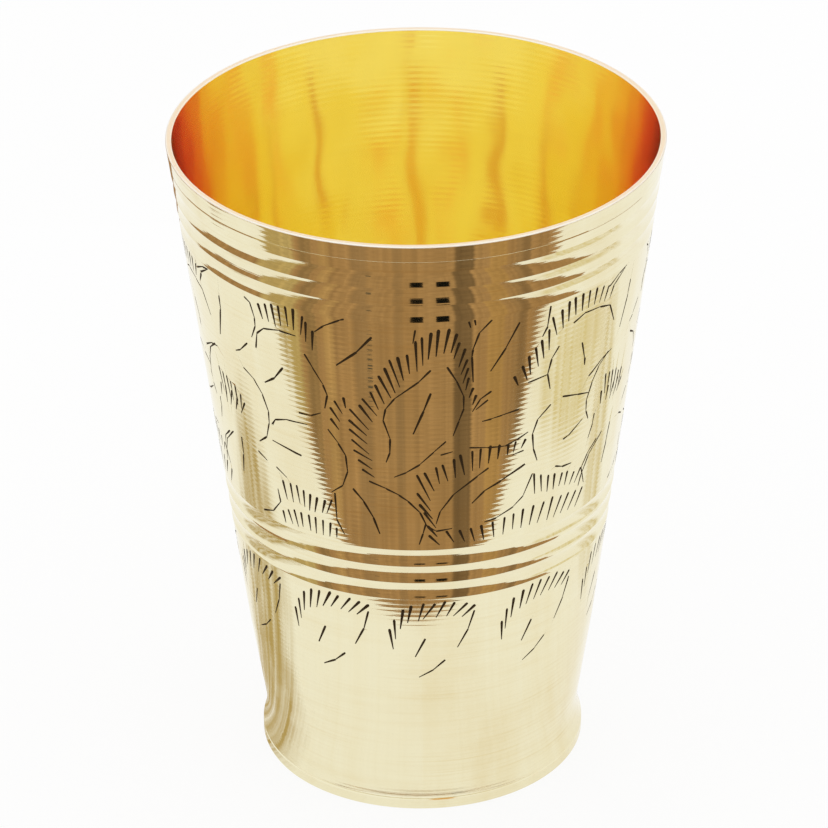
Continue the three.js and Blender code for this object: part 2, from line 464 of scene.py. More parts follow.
# How a fringe stroke and a stretch of a line narrow along their length, and how much broader a vein is
STROKE_RUN = np.array((0, 0.07, 0.5, 1))
STROKE_BREADTH = np.array((0.7, 1, 0.72, 0.3))
LINE_RUN = np.array((0, 0.2, 1))
LINE_BREADTH = np.array((0.85, 1, 0.5))
VEIN_BREADTH = 1.2

# Rows of points up each field, and how near in millimetres two of its points may be
FIELD_ROWS = 8
FIELD_NEARNESS = 1e-4


def smooth_line(points, count):
    """Evenly spaced points on a smooth curve through a few points."""
    points = np.array(points, float)
    knots = np.arange(len(points))
    slopes = np.gradient(points, axis=0)
    fine = np.linspace(0, len(points) - 1, 40 * len(points))
    knot = np.minimum(fine.astype(int), len(points) - 2)
    share = (fine - knots[knot])[:, None]
    start, stop = points[knot], points[knot + 1]
    leave, arrive = slopes[knot], slopes[knot + 1]
    curve = (
        (2 * share ** 3 - 3 * share ** 2 + 1) * start
        + (share ** 3 - 2 * share ** 2 + share) * leave
        + (3 * share ** 2 - 2 * share ** 3) * stop
        + (share ** 3 - share ** 2) * arrive
    )
    run = np.concatenate([[0], np.cumsum(np.hypot(*np.diff(curve, axis=0).T))])
    wanted = np.linspace(0, run[-1], count)
    return np.stack([np.interp(wanted, run, curve[:, 0]), np.interp(wanted, run, curve[:, 1])], 1)


class Field:
    """A conical field of the wall that is laid flat, engraved and put back round the axis."""

    def __init__(self, low, high, seed):
        self.low = low
        self.high = high
        self.scale = float(outside_radius((low + high) / 2))
        self.half = math.pi * self.scale
        self.cuts = []
        self.chance = random.Random(seed)

    def flat(self, points):
        """Angles in degrees and heights in millimetres as flat lengths in metres."""
        points = np.array(points, float)
        return np.stack([np.radians(points[:, 0]) * self.scale, points[:, 1] * MM], 1)

    def cut(self, start, stop, width, run, breadth):
        """Adds a straight cut between two flat places; run and breadth say how it narrows."""
        self.cuts.append((start + (stop - start) * run[:, None], width * breadth))

    def fringe(self, heads, tails, count, turn):
        """Adds a row of strokes, broad at the head and pointed at the tail."""
        sizes = bpy.context.scene.tumbler_engraving
        heads = self.flat(smooth_line(heads, count) + (turn, 0))
        tails = self.flat(smooth_line(tails, count) + (turn, 0))
        for head, tail in zip(heads, tails):
            stray = [self.chance.gauss(0, 1) * sizes.unevenness for _ in range(4)]
            width = sizes.stroke_width * self.chance.uniform(0.8, 1.1)
            self.cut(head + stray[:2], tail + stray[2:], width, STROKE_RUN, STROKE_BREADTH)

    def line(self, points, turn, broad=1.0):
        """Adds an outline or a vein: one short straight cut after another, each a little thinner."""
        sizes = bpy.context.scene.tumbler_engraving
        ends = self.flat(points) + (math.radians(turn) * self.scale, 0)
        for start, stop in zip(ends[:-1], ends[1:]):
            width = sizes.line_width * broad * self.chance.uniform(0.85, 1.15)
            self.cut(start, stop, width, LINE_RUN, LINE_BREADTH)


def engraved(field, turns, fringes, lines, veins):
    """Cuts the same leaves at each turn round the tumbler and returns the field."""
    for turn in turns:
        for heads, tails, count in fringes:
            field.fringe(heads, tails, count, turn)
        for points in lines:
            field.line(points, turn)
        for points in veins:
            field.line(points, turn, VEIN_BREADTH)
    return field


def cut_outline(line, widths):
    """The outline of a cut, anticlockwise: down one side of its line and back up the other."""
    way = np.gradient(line, axis=0)
    way /= np.hypot(way[:, 0], way[:, 1])[:, None]
    across = np.stack([-way[:, 1], way[:, 0]], 1) * widths[:, None] / 2
    return np.concatenate([line - across, (line + across)[::-1]])


def depth_at(points, cuts, steepness):
    """How deep the deepest cut is at each flat point."""
    depth = np.zeros(len(points))
    for line, widths in cuts:
        reach = widths.max() / 2
        low = line.min(0) - reach
        high = line.max(0) + reach
        near = np.nonzero(((points >= low) & (points <= high)).all(1))[0]
        for start, stop, first, last in zip(line[:-1], line[1:], widths[:-1], widths[1:]):
            run = stop - start
            share = ((points[near] - start) @ run / (run @ run)).clip(0, 1)
            gap = np.hypot(*(points[near] - start - share[:, None] * run).T)
            here = ((first + (last - first) * share) / 2 - gap) * steepness
            depth[near] = np.maximum(depth[near], here)
    return depth


def field_grid(field):
    """Points all over the flat field, and the edges of its border."""
    facets = bpy.context.scene.tumbler_sizes.facets
    columns = np.linspace(-field.half, field.half, facets + 1)
    heights = np.linspace(field.low, field.high, FIELD_ROWS + 1)
    points = np.array([(x, z) for z in heights for x in columns])
    number = np.arange(len(points)).reshape(FIELD_ROWS + 1, facets + 1)
    edges = []
    for side in (number[:, 0], number[:, -1], number[0], number[-1]):
        edges += zip(side[:-1].tolist(), side[1:].tolist())
    return points, edges


def field_cuts(field, start):
    """The cuts of a field, with points, edges and faces that are numbered from a start.

    A cut that crosses the back of the tumbler is there at both ends of the flat field.
    """
    points, edges, faces, cuts = [], [], [], []
    for line, widths in field.cuts:
        for turn in (-2 * field.half, 0, 2 * field.half):
            moved = line + (turn, 0)
            if moved[:, 0].max() < -field.half - MM or moved[:, 0].min() > field.half + MM:
                continue
            cuts.append((moved, widths))
            outline = cut_outline(moved, widths)
            faces.append(tuple(range(start, start + len(outline))))
            start += len(outline)
            edges += [(start + i, start + i + 1) for i in range(len(moved) - 1)]
            start += len(moved)
            points += [outline, moved]
    return points, edges, faces, cuts


def add_field(surface, field):
    """Adds a field with its cuts as real hollows, which have a finish of their own."""
    grid, border = field_grid(field)
    laid, edges, faces, cuts = field_cuts(field, len(grid))
    points = np.concatenate([grid, *laid])
    found, _, triangles, same, _, within = delaunay_2d_cdt(
        (points / MM).tolist(), border + edges, faces, 0, FIELD_NEARNESS)
    found = np.array([tuple(v) for v in found]) * MM
    for vertex, given in enumerate(same):
        if given:
            found[vertex] = points[given[0]]
    depth = depth_at(found, cuts, bpy.context.scene.tumbler_engraving.steepness)
    edge = np.minimum(np.abs(found[:, 1] - field.low), np.abs(found[:, 1] - field.high)) < VERTEX_GRID
    depth[edge] = 0
    triangles = np.array(triangles)
    middle = found[triangles].mean(1)
    kept = ((np.abs(middle[:, 0]) < field.half)
            & (middle[:, 1] > field.low) & (middle[:, 1] < field.high))
    hollow = np.array([bool(owners) for owners in within]) & (depth[triangles].max(1) > 0)
    slope = taper_slope()
    tilt = 1 / math.hypot(1, slope)
    angle = found[:, 0] / field.scale
    radius = outside_radius(found[:, 1]) - depth * tilt
    places = around(radius, found[:, 1] + depth * tilt * slope, angle)
    facing = around(np.full(len(found), tilt), -tilt * slope, angle)
    maps = np.stack([angle / (2 * math.pi) + 0.5, outside_map(found[:, 1])], 1)
    corners = triangles[kept & ~hollow]
    surface.add(places[corners], facing[corners], maps[corners], OUTSIDE)
    corners = triangles[kept & hollow]
    sides = places[corners]
    flat = np.cross(sides[:, 1] - sides[:, 0], sides[:, 2] - sides[:, 0])
    flat /= np.maximum(np.linalg.norm(flat, axis=1), 1e-20)[:, None]
    surface.add(sides, np.repeat(flat[:, None], 3, 1), maps[corners], CUT)


# Materials

def node(tree, kind, inputs=None, **settings):
    """Adds a node with its properties; each input is a value or a socket to link."""
    made = tree.nodes.new(kind)
    for name, value in settings.items():
        setattr(made, name, value)
    for place, given in (inputs or {}).items():
        if isinstance(given, bpy.types.NodeSocket):
            tree.links.new(given, made.inputs[place])
        else:
            made.inputs[place].default_value = given
    return made


def maths(tree, operation, *given, clamp=False):
    """Adds a Math node; each input is a number or a socket."""
    inputs = dict(enumerate(given))
    return node(tree, "ShaderNodeMath", inputs, operation=operation, use_clamp=clamp).outputs[0]


def steepened(tree, value, gain, offset):
    """A value times a gain plus an offset, kept from 0 to 1."""
    return maths(tree, "MULTIPLY_ADD", value, gain, offset, clamp=True)


def own_place(tree):
    """The X, Y and Z sockets of a place in the piece's own space."""
    place = node(tree, "ShaderNodeTexCoord")
    return node(tree, "ShaderNodeSeparateXYZ", {0: place.outputs["Object"]}).outputs


def noise(tree, scale, detail, stretch=(1, 1, 1), roughness=0.5):
    """Noise in the piece's own space, which may be drawn out along the wall or round it."""
    place = node(tree, "ShaderNodeTexCoord")
    drawn_out = node(tree, "ShaderNodeMapping", {"Vector": place.outputs["Object"], "Scale": stretch})
    return node(tree, "ShaderNodeTexNoise", {
        "Vector": drawn_out.outputs[0], "Scale": scale, "Detail": detail, "Roughness": roughness,
    }).outputs["Fac"]


def new_group(name, inputs, outputs):
    """Starts a shader node group; a socket whose default is a tuple is a colour, others are numbers."""
    group = bpy.data.node_groups.new(name, "ShaderNodeTree")
    for side, sockets in (("INPUT", inputs), ("OUTPUT", outputs)):
        for label, default in sockets.items():
            kind = "NodeSocketColor" if isinstance(default, tuple) else "NodeSocketFloat"
            made = group.interface.new_socket(name=label, in_out=side, socket_type=kind)
            made.default_value = default
    given = group.nodes.new("NodeGroupInput").outputs
    return group, given, group.nodes.new("NodeGroupOutput").inputs


def new_material(name):
    """Starts a material and returns it with its node tree and its shader."""
    material = bpy.data.materials.new(name)
    material.use_nodes = True
    tree = material.node_tree
    return material, tree, tree.nodes["Principled BSDF"]


def turning_marks():
    """Fine ridges that the tool leaves, one each turn, deeper in some places than in others."""
    if "Turning marks" in bpy.data.node_groups:
        return bpy.data.node_groups["Turning marks"]
    group, given, made = new_group(
        "Turning marks", {"Along": 0.0, "Pitch": 1 * MM, "Unevenness": 0.5}, {"Height": 0.0})
    waver = noise(group, 1.0, 2.0, (12, 12, 60))
    turns = maths(group, "DIVIDE", given["Along"], given["Pitch"])
    drift = maths(group, "MULTIPLY", waver, given["Unevenness"])
    phase = maths(group, "MULTIPLY", maths(group, "ADD", turns, drift), 2 * math.pi)
    finer = maths(group, "SINE", maths(group, "MULTIPLY", phase, 2.63))
    both = maths(group, "MULTIPLY_ADD", finer, 0.22, maths(group, "SINE", phase))
    strength = maths(group, "MULTIPLY_ADD", waver, 1.6, 0.2)
    height = maths(group, "MULTIPLY", both, strength)
    group.links.new(maths(group, "MULTIPLY_ADD", height, 0.4, 0.5), made["Height"])
    return group


def handled_brass():
    """Handled brass: golden smears down it, faint rings, grime in its marks and fine scratches."""
    if "Handled brass" in bpy.data.node_groups:
        return bpy.data.node_groups["Handled brass"]
    group, given, made = new_group(
        "Handled brass",
        {"Colour": (0.8, 0.8, 0.5, 1.0), "Tarnish": (0.6, 0.47, 0.25, 1.0), "Amount": 0.2,
         "Grime": 0.1, "Marks": 0.5, "Roughness": 0.12},
        {"Colour": (0.8, 0.8, 0.5, 1.0), "Roughness": 0.12})
    streak = steepened(group, noise(group, 95.0, 4.0, (1, 1, 0.2)), 3.6, -1.55)
    patch = steepened(group, noise(group, 30.0, 3.0), 3.0, -1.05)
    grit = maths(group, "MULTIPLY_ADD", noise(group, 700.0, 2.0), 0.6, 0.7)
    smear = maths(group, "MULTIPLY", maths(group, "MULTIPLY", streak, patch), grit)
    rings = steepened(group, noise(group, 36.0, 3.0, (1, 1, 11)), 3.6, -1.7)
    smear = maths(group, "MULTIPLY_ADD", rings, 0.3, smear)
    smear = maths(group, "MULTIPLY", smear, given["Amount"])
    low = steepened(group, given["Marks"], -2.4, 1.0)
    scratches = steepened(group, noise(group, 55.0, 3.0, (1, 1, 34)), 7.5, -4.2)
    dirt = maths(group, "MULTIPLY", maths(group, "MULTIPLY_ADD", low, 0.5, scratches), patch)
    cover = steepened(group, dirt, given["Grime"], smear)
    mix = node(group, "ShaderNodeMix", {
        "Factor": cover, 6: given["Colour"], 7: given["Tarnish"]}, data_type="RGBA")
    duller = maths(group, "MULTIPLY_ADD", cover, 0.12, given["Roughness"])
    group.links.new(mix.outputs[2], made["Colour"])
    group.links.new(duller, made["Roughness"])
    return group


def brass(name, colour, amount, grime, roughness, pitch, ridge, along="Z"):
    """Turned brass. The ridge is the height of a turning mark; along says how the marks are spaced."""
    tarnish = bpy.context.scene.tumbler_colours.tarnish
    material, tree, shader = new_material(name)
    shader.inputs["Metallic"].default_value = 1.0
    place = own_place(tree)
    distance = place["Z"]
    if along == "RADIUS":
        squares = maths(tree, "MULTIPLY", place["X"], place["X"])
        squares = maths(tree, "MULTIPLY_ADD", place["Y"], place["Y"], squares)
        distance = maths(tree, "SQRT", squares)
    marks = node(tree, "ShaderNodeGroup", {"Along": distance, "Pitch": pitch}, node_tree=turning_marks())
    cloudy = node(tree, "ShaderNodeGroup", {
        "Colour": (*colour, 1), "Tarnish": (*tarnish, 1), "Amount": amount, "Grime": grime,
        "Marks": marks.outputs["Height"], "Roughness": roughness}, node_tree=handled_brass())
    bump = node(tree, "ShaderNodeBump", {
        "Strength": 1.0, "Distance": ridge, "Height": marks.outputs["Height"]})
    tree.links.new(cloudy.outputs["Colour"], shader.inputs["Base Color"])
    tree.links.new(cloudy.outputs["Roughness"], shader.inputs["Roughness"])
    tree.links.new(bump.outputs["Normal"], shader.inputs["Normal"])
    return material


def darkened_cut():
    """The blackened bottom of an engraved cut."""
    material, _, shader = new_material("darkened cut")
    shader.inputs["Base Color"].default_value = (*bpy.context.scene.tumbler_colours.cut, 1)
    shader.inputs["Metallic"].default_value = 0.4
    shader.inputs["Roughness"].default_value = 0.6
    shader.inputs["Specular IOR Level"].default_value = 0.1
    return material


def inside_brass():
    """The inside is yellower, its marks are finer, and it swells and dips a little."""
    colours = bpy.context.scene.tumbler_colours
    material = brass("inside brass", colours.inside, amount=0.08, grime=0.06, roughness=0.08,
                     pitch=1.15 * MM, ridge=0.0045 * MM)
    tree = material.node_tree
    shader = tree.nodes["Principled BSDF"]
    marks = shader.inputs["Normal"].links[0].from_socket
    waves = node(tree, "ShaderNodeBump", {
        "Strength": 1.0, "Distance": 0.45 * MM, "Height": noise(tree, 55.0, 1.0), "Normal": marks})
    tree.links.new(waves.outputs["Normal"], shader.inputs["Normal"])
    shader.inputs["Specular Tint"].default_value = (*colours.inside_edge, 1)
    shader.inputs["Metallic"].default_value = 0.96
    return material


def settle(piece, node_names):
    """Attaches a piece to the root body and hides the CAD nodes that it stands for."""
    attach(piece, "root")
    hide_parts(*node_names)


def turn_piece(name, spans, finish, node_name):
    """Turns a whole profile into a piece of one finish, attaches it to the root body and hides its CAD
    node.
    """
    surface = Surface()
    add_profile(surface, spans, MAP_MARGIN, 1 - MAP_MARGIN)
    settle(surface.build(name, [finish]), [node_name])


# Operators

class TUMBLER_OT_wall(bpy.types.Operator):
    """Turns the wall with its ring bands and engraves its two fields of leaves"""

    bl_idname = "tumbler.wall"
    bl_label = "Wall"

    def execute(self, context):
        sizes = context.scene.tumbler_sizes
        colours = context.scene.tumbler_colours
        lip = sizes.height - sizes.rim_round
        surface = Surface()
        self.add_outside(surface, lip)
        self.add_lip(surface, lip)
        self.add_inside(surface, lip)
        for field in self.fields():
            add_field(surface, field)
        outside = brass("polished brass", colours.outside, amount=0.42, grime=0.24, roughness=0.05,
                        pitch=1.08 * MM, ridge=0.0065 * MM)
        # The lip's near-white colour is partly bare worn metal and partly a painted highlight
        worn_and_highlighted = brass("worn lip", colours.lip, amount=0.1, grime=0, roughness=0.4,
                     pitch=0.4 * MM, ridge=0.001 * MM)
        piece = surface.build("engraved_wall", [outside, darkened_cut(), inside_brass(), worn_and_highlighted])
        settle(piece, ["wall"])
        return {"FINISHED"}

    def add_outside(self, surface, lip):
        """Turns the outside from the seam to the lip, all but the two engraved fields."""
        sizes = bpy.context.scene.tumbler_sizes
        rings = bpy.context.scene.tumbler_rings
        middle_low, _, upper_low, upper_top = band_ends()
        spans = [plain(wall_low.z, sizes.break_height, 24)]
        for low, pitch, depth in (
                (middle_low, rings.middle_pitch, rings.middle_depth),
                (upper_low, rings.upper_pitch, rings.upper_depth)):
            spans += [ring(low + band * pitch, pitch, depth) for band in range(rings.rings)]
        line = sizes.height - SCRIBED_LINE_DROP
        low = line - SCRIBED_LINE_WIDTH / 2
        high = line + SCRIBED_LINE_WIDTH / 2
        floor = outside_radius(line) - SCRIBED_LINE_DEPTH
        spans.append(plain(upper_top, low, 2))
        spans += straight(
            (outside_radius(low), low), (floor, line - SCRIBED_LINE_WIDTH / 4),
            (floor, line + SCRIBED_LINE_WIDTH / 4), (outside_radius(high), high),
            (sizes.mouth_radius, lip))
        for span in spans:
            add_turned(surface, span, outside_map(span[:, 1]), OUTSIDE)

    def add_lip(self, surface, lip):
        """Turns the flat top of the lip and its two rounded edges."""
        sizes = bpy.context.scene.tumbler_sizes
        outer = sizes.mouth_radius - sizes.rim_round
        inner = sizes.mouth_radius - sizes.wall_thickness + sizes.rim_round
        spans = [rounded(outer, lip, sizes.rim_round, 0, 90)]
        spans += straight((outer, sizes.height), (inner, sizes.height))
        spans.append(rounded(inner, lip, sizes.rim_round, 90, 180))
        add_profile(surface, spans, *LIP_MAP, LIP)

    def add_inside(self, surface, lip):
        """Turns the inside of the wall, the bore that holds the disc and the seam face."""
        sizes = bpy.context.scene.tumbler_sizes
        bore = sizes.waist_radius - sizes.wall_thickness
        seam = wall_low.z
        spans = straight(
            (sizes.mouth_radius - sizes.wall_thickness, lip),
            (sizes.break_radius - sizes.wall_thickness, sizes.break_height),
            (bore, BORE_TOP), (bore, seam), (float(outside_radius(seam)), seam))
        steps = np.linspace(0, 1, INSIDE_STEPS + 1)[:, None]
        spans = [start + (stop - start) * steps for start, stop in spans]
        add_profile(surface, spans, *INSIDE_MAP, INSIDE)

    def fields(self):
        """The two engraved fields: the row of leaves below the middle band and the leaves above it."""
        middle_low, middle_top, upper_low, _ = band_ends()
        lower = Field(bpy.context.scene.tumbler_sizes.break_height, middle_low, seed=3)
        upper = Field(middle_top, upper_low, seed=7)
        return (
            engraved(lower, LOWER_LEAVES, LOWER_FRINGES, LOWER_LINES, LOWER_VEINS),
            engraved(upper, UPPER_REPEATS, UPPER_FRINGES, UPPER_LINES, UPPER_VEINS))


class TUMBLER_OT_foot(bpy.types.Operator):
    """Turns the foot ring with its band, groove and flare"""

    bl_idname = "tumbler.foot"
    bl_label = "Foot ring"

    def execute(self, context):
        sizes = context.scene.tumbler_sizes
        radius = sizes.foot_radius
        flat = radius - FOOT_EDGE_ROUND
        inner = flat - FOOT_REST_WIDTH
        ledge = sizes.waist_radius - sizes.wall_thickness - LEDGE_WIDTH
        groove = sizes.foot_band - FOOT_GROOVE_WIDTH
        top = foot_high.z
        spans = straight((inner, 0), (flat, 0))
        spans.append(rounded(flat, FOOT_EDGE_ROUND, FOOT_EDGE_ROUND, -90, 0))
        spans += straight(
            (radius, FOOT_EDGE_ROUND), (radius, groove),
            (radius - FOOT_GROOVE_DEPTH, groove + FOOT_GROOVE_WIDTH / 2), (radius, sizes.foot_band))
        spans.append(plain(sizes.foot_band, top, 12))
        spans += straight((float(outside_radius(top)), top), (ledge, top), (inner, 0))
        finish = brass("foot brass", context.scene.tumbler_colours.outside, amount=0.5, grime=0.1,
                       roughness=0.1, pitch=0.62 * MM, ridge=0.006 * MM)
        turn_piece("turned_foot", spans, finish, "foot_ring")
        return {"FINISHED"}


class TUMBLER_OT_disc(bpy.types.Operator):
    """Turns the floor disc"""

    bl_idname = "tumbler.disc"
    bl_label = "Floor disc"

    def execute(self, context):
        radius = disc_high.x
        spans = straight((0, disc_low.z), (radius, disc_low.z), (radius, disc_high.z), (0, disc_high.z))
        finish = brass("floor brass", context.scene.tumbler_colours.inside, amount=0.35, grime=0.2,
                       roughness=0.25, pitch=0.8 * MM, ridge=0.012 * MM, along="RADIUS")
        turn_piece("turned_disc", spans, finish, "floor_disc")
        return {"FINISHED"}


class TUMBLER_OT_fillets(bpy.types.Operator):
    """Lays the brazing metal in the corners above and below the disc"""

    bl_idname = "tumbler.fillets"
    bl_label = "Brazed fillets"

    def execute(self, context):
        finish = brass("brazing metal", context.scene.tumbler_colours.braze, amount=0.5, grime=0.1,
                       roughness=0.35, pitch=0.5 * MM, ridge=0.01 * MM)
        for name, node_name, first, start in (
                ("inside_braze", "bowl_fillet", 0, 0), ("underside_braze", "under_fillet", 1, 90)):
            low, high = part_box(node_name)
            leg = high.z - low.z
            inside = high.x - leg
            # A fillet has three corners of its box and an arc round the fourth
            corners = ((inside, low.z), (high.x, low.z), (high.x, high.z), (inside, high.z))
            spans = straight(*corners[first:first + 3])
            spans.append(rounded(*corners[first - 1], leg, start, start - 90, FILLET_STEPS))
            turn_piece(name, spans, finish, node_name)
        return {"FINISHED"}


# The room that the metal reflects

# The corners of the white sheet under the tumbler, in millimetres; the brown table starts round it
SHEET = ((-225, 120), (-205, 55), (-215, -3), (-205, -52), (-150, -70), (-75, -75), (140, -88),
         (300, -45), (360, 40), (360, 340), (30, 340), (-20, 215), (-225, 215))

# Strips of the table that run away from the tumbler: bearing from straight ahead in degrees, half
# width in degrees and colour against the rest of the table
STRIPS = (
    (-66, 9, (1.3, 1.65, 1.65)), (-51, 3, (0.8, 0.84, 0.85)), (-42, 2.5, (1.12, 1.16, 1.1)),
    (-26, 3.5, (0.88, 0.9, 0.95)), (-9, 2, (0.84, 0.86, 0.9)), (20.5, 4.3, (0.5, 0.52, 0.56)),
    (36, 4, (1.12, 1.12, 0.95)), (48, 3.5, (0.74, 0.76, 0.8)),
)

# Plain flat cards: name, bearing and half width in degrees, nearest and farthest reach in
# millimetres, and colour
FLAT_CARDS = (
    ("dark_bar_left", -0.6, 2.8, 194, 285, (0.006, 0.006, 0.005)),
    ("dark_bar_right", 10.8, 2.9, 194, 285, (0.006, 0.006, 0.005)),
    ("dark_speck", -22.5, 1.2, 147, 153, (0.08, 0.07, 0.05)),
)

# Soft flat cards: name, middle, half length and half width, all in millimetres, then turn in
# degrees, colour, how much they cover and how fine their streaks are
SOFT_CARDS = (
    ("left_shade", (-88, 16, 0.4), (62, 34), 166, (0.5, 0.375, 0.15), 1.0, 14),
    ("left_low_shade", (-42, 4, 0.45), (30, 22), 150, (0.5, 0.37, 0.15), 0.9, 14),
    # The next card is painted shade where the white sheet folds at its edge
    ("left_fold", (-152, -69, 0.5), (50, 13), -8, (0.5, 0.37, 0.15), 1.3, 14),
    ("right_shade", (148, -22, 0.4), (70, 30), 70, (0.7, 0.58, 0.25), 0.8, 14),
    ("right_far_shade", (125, 40, 0.42), (65, 22), 18, (0.66, 0.54, 0.24), 0.7, 14),
    ("faint_streaks", (0, 0, 0.25), (300, 300), 0, (0.85, 0.7, 0.36), 0.12, 6),
)

# Upright cards: name, bearing and half width in degrees, and colour
FAR_POSTS = (
    ("far_post_front", 14, 10, (0.78, 0.42, 0.12)),
    ("far_post_behind", 180, 15, (0.88, 0.56, 0.24)),
)

# Curved warm cards: name and the bearings of their two ends in degrees
WARM_SIDES = (("warm_side_left", 84, 152), ("warm_side_right", -152, -84))
WARM_COLOUR = (0.98, 0.55, 0.3)

# Where these lie, in metres, and how much the far ones cover
TABLE_HEIGHT = 0.3 * MM
TABLE_REACH = 3
FLAT_CARD_HEIGHT = 0.6 * MM
FAR_DISTANCE = 1.3
POST_HEIGHTS = (0.62, 1.3)
WARM_HEIGHTS = (0.65, 0.86)
WARM_STEPS = 12
FAR_COVER = 1.2
FLOOR_REACH = 6

# Reflections that light may take on its way out of the deep bowl
BOUNCES = 24

# Colour of the floor, and the share of plain white that cameras and reflections see on it
FLOOR_COLOUR = (0.95, 0.95, 0.95, 1)
FLOOR_WHITE = 0.85

# Shares of a strip's half width where it starts to fade and where it ends
STRIP_FADE = (0.8, 1.2)

# Sensor in millimetres, shift of the lens in sensor widths and the nearest thing seen in metres
SENSOR_WIDTH = 36
LENS_SHIFT = (-0.0065, 0.027)
NEAREST_SEEN = 0.01

SQUARE = ((-1, -1, 0), (1, -1, 0), (1, 1, 0), (-1, 1, 0))
ONE_FACE = ((0, 1, 2, 3),)


def toward(bearing, reach, height):
    """A place at a bearing from straight ahead in degrees."""
    bearing = math.radians(bearing)
    return reach * math.sin(bearing), -reach * math.cos(bearing), height


def hidden_card(name, places, faces):
    """Starts a card that only reflections show."""
    mesh = bpy.data.meshes.new(name)
    mesh.from_pydata(places, [], faces)
    piece = placed(name, mesh)
    piece.visible_camera = False
    piece.visible_diffuse = False
    piece.visible_shadow = False
    material, tree, shader = new_material(name)
    tree.nodes.remove(shader)
    mesh.materials.append(material)
    return piece, tree


def show(tree, shader):
    """Shows a shader node on the card or floor."""
    tree.links.new(shader.outputs[0], tree.nodes["Material Output"].inputs["Surface"])


def blend(tree, share, first, second):
    """Shows the second shader node by its share and the first one by the rest."""
    show(tree, node(tree, "ShaderNodeMixShader", {0: share, 1: first.outputs[0], 2: second.outputs[0]}))


def see_through(tree, share, colour):
    """Shows the colour by its share and lets the rest through."""
    glow = node(tree, "ShaderNodeEmission", {"Color": (*colour, 1)})
    blend(tree, share, node(tree, "ShaderNodeBsdfTransparent"), glow)


def streaks():
    """Streaks on the table that run away from the tumbler, so the wall shows them upright."""
    if "Streaks" in bpy.data.node_groups:
        return bpy.data.node_groups["Streaks"]
    group, given, made = new_group(
        "Streaks", {"Fineness": 16.0, "Contrast": 1.0}, {"Share": 0.0, "Bearing": 0.0})
    place = node(group, "ShaderNodeNewGeometry")
    split = node(group, "ShaderNodeSeparateXYZ", {0: place.outputs["Position"]})
    forward = maths(group, "MULTIPLY", split.outputs["Y"], -1.0)
    bearing = maths(group, "ARCTAN2", split.outputs["X"], forward)
    lines = node(group, "ShaderNodeTexNoise", {
        "W": bearing, "Scale": given["Fineness"], "Detail": 6.0, "Roughness": 0.65,
    }, noise_dimensions="1D")
    away = maths(group, "MULTIPLY_ADD", lines.outputs["Fac"], 2.0, -1.0)
    group.links.new(steepened(group, away, given["Contrast"], 0.5), made["Share"])
    group.links.new(bearing, made["Bearing"])
    return group


def streaky(tree, fineness, contrast):
    """Places the streaks in a material and returns their sockets."""
    return node(tree, "ShaderNodeGroup", {"Fineness": fineness, "Contrast": contrast},
                node_tree=streaks()).outputs


def flat_card(name, turn, half_turn, near, far, colour):
    """A plain flat card between two bearings and two distances from the axis."""
    corners = [toward(turn + side * half_turn, reach * MM, FLAT_CARD_HEIGHT)
               for side, reach in ((-1, near), (1, near), (1, far), (-1, far))]
    _, tree = hidden_card(name, corners, [(0, 3, 2, 1)])
    show(tree, node(tree, "ShaderNodeEmission", {"Color": (*colour, 1)}))


def soft_card(name, middle, half, turn, colour, cover, fineness):
    """A flat card with soft, patchy and streaky edges."""
    piece, tree = hidden_card(name, SQUARE, ONE_FACE)
    piece.matrix_world = (
        Matrix.Translation([part * MM for part in middle])
        @ Matrix.Rotation(math.radians(turn), 4, "Z")
        @ Matrix.Diagonal((half[0] * MM, half[1] * MM, 1, 1)))
    place = node(tree, "ShaderNodeTexCoord")
    reach = node(tree, "ShaderNodeVectorMath", {0: place.outputs["Object"]}, operation="LENGTH")
    near = maths(tree, "SUBTRACT", 1.0, reach.outputs["Value"], clamp=True)
    soft = maths(tree, "MULTIPLY", near, 2.4, clamp=True)
    patchy = steepened(tree, noise(tree, 2.4, 7.0, roughness=0.7), 3.4, -0.8)
    lines = maths(tree, "MULTIPLY_ADD", streaky(tree, fineness, 1.5)["Share"], 0.8, 0.4)
    share = maths(tree, "MULTIPLY", maths(tree, "MULTIPLY", soft, patchy), lines)
    see_through(tree, maths(tree, "MULTIPLY", share, cover, clamp=True), colour)


def upright_card(name, turn, half_turn, colour):
    """A tall far card with soft sides, like a window post."""
    low, high = POST_HEIGHTS
    half = FAR_DISTANCE * math.tan(math.radians(half_turn))
    piece, tree = hidden_card(name, ((-1, 0, low), (1, 0, low), (1, 0, high), (-1, 0, high)), ONE_FACE)
    piece.matrix_world = (
        Matrix.Rotation(math.radians(turn), 4, "Z") @ Matrix.Translation((0, -FAR_DISTANCE, 0))
        @ Matrix.Diagonal((half, 1, 1, 1)))
    near = maths(tree, "SUBTRACT", 1.0, maths(tree, "ABSOLUTE", own_place(tree)["X"]), clamp=True)
    soft = maths(tree, "MULTIPLY", near, 2.5, clamp=True)
    see_through(tree, maths(tree, "MULTIPLY", soft, FAR_COVER), colour)


def curved_card(name, start, stop):
    """A warm far card that curves round the tumbler, with soft long edges."""
    low, high = WARM_HEIGHTS
    corners = []
    for step in range(WARM_STEPS + 1):
        bearing = start + (stop - start) * step / WARM_STEPS
        corners += [toward(bearing, FAR_DISTANCE, height) for height in (low, high)]
    faces = [(2 * step, 2 * step + 2, 2 * step + 3, 2 * step + 1) for step in range(WARM_STEPS)]
    _, tree = hidden_card(name, corners, faces)
    off = maths(tree, "ABSOLUTE", maths(tree, "SUBTRACT", own_place(tree)["Z"], (low + high) / 2))
    share = steepened(tree, off, -4 * FAR_COVER / (high - low), 2 * FAR_COVER)
    see_through(tree, share, WARM_COLOUR)


